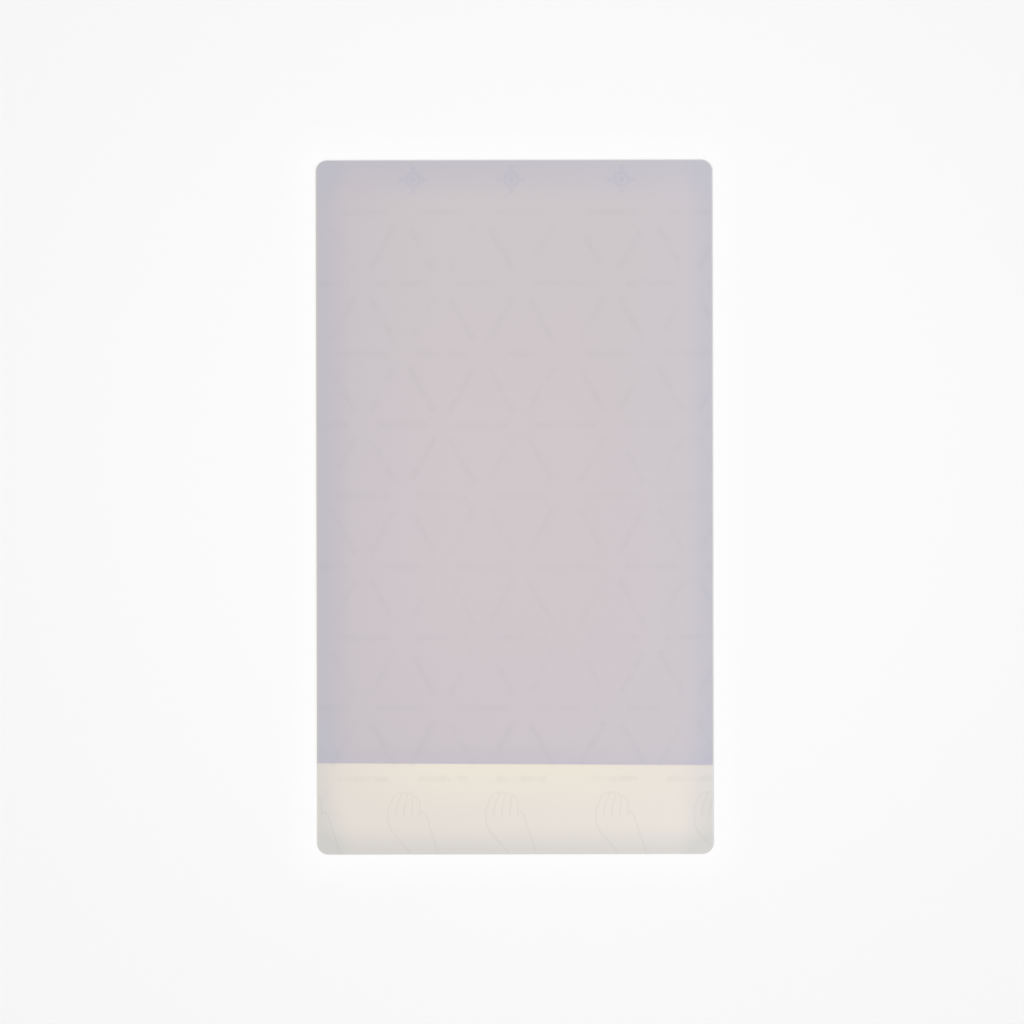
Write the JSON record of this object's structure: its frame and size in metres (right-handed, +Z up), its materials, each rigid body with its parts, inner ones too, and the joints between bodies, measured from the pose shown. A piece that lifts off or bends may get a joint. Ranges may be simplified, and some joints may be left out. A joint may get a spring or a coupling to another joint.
{
  "type": "matte screen protector",
  "caption": "Flat matte screen protector film on a longer printed release liner, with a bare grip tab at one end and rounded corners.",
  "frame": {"origin": "middle of the liner's underside, on the surface that the sheet lies on", "axes": "+X across the sheet, +Y from the grip tab to the far end, +Z up from the liner to the film"},
  "size_m": [0.12, 0.21, 0.0004],
  "materials": {
    "liner": "milky cream release film with a satin face",
    "film": "finely frosted mauve grey film",
    "ink": "thin grey print"
  },
  "bodies": {
    "root": {"release_liner": "liner", "matte_film": "film", "liner_print": "ink"}
  },
  "joints": []
}
